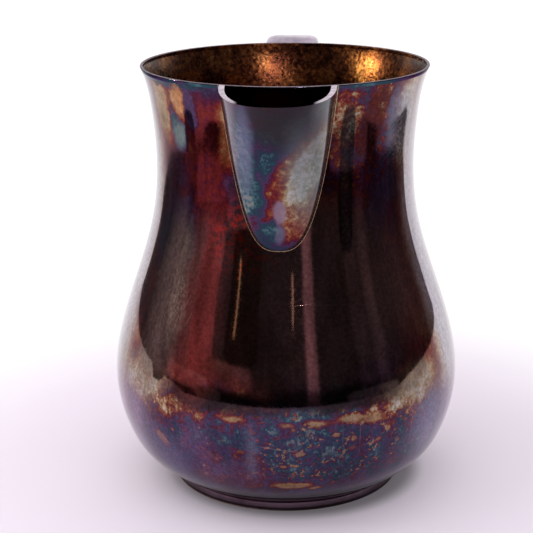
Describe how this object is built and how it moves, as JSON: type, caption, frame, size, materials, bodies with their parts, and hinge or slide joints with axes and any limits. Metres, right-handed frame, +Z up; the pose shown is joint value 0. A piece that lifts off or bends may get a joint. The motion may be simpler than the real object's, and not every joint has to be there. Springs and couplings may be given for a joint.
{
  "type": "water pitcher",
  "caption": "Pear-shaped metal water pitcher on a low foot ring, with an applied pouring spout opposite a hollow strap handle.",
  "frame": {"origin": "middle of the footprint box, on the plane that the foot ring stands on", "axes": "+Z up along the body's axis, which stands at x = 0, y = -15.9 mm; -Y towards the spout and +Y towards the handle; +X to the right of a viewer who faces the spout"},
  "size_m": [0.1514, 0.2038, 0.1853],
  "materials": {
    "body_silver": "silver plate over brass, glossy, with heavy brown, crimson, gold and blue tarnish",
    "spout_silver": "silver plate over brass, glossy, with grey, blue and gold tarnish",
    "rim_silver": "silver plate over brass, worn bright along the edge",
    "base_silver": "silver plate over brass, dull grey tarnish with a rubbed edge",
    "handle_silver": "silver plate over brass, thin lavender tarnish rubbed by the hand"
  },
  "bodies": {
    "root": {"body_shell": "body_silver", "base_disc": "base_silver", "foot_ring": "base_silver", "rim_wire": "rim_silver", "spout": "spout_silver", "handle_outer_strip": "handle_silver", "handle_back_strip": "handle_silver", "upper_handle_seat": "handle_silver", "lower_handle_seat": "handle_silver"}
  },
  "joints": []
}
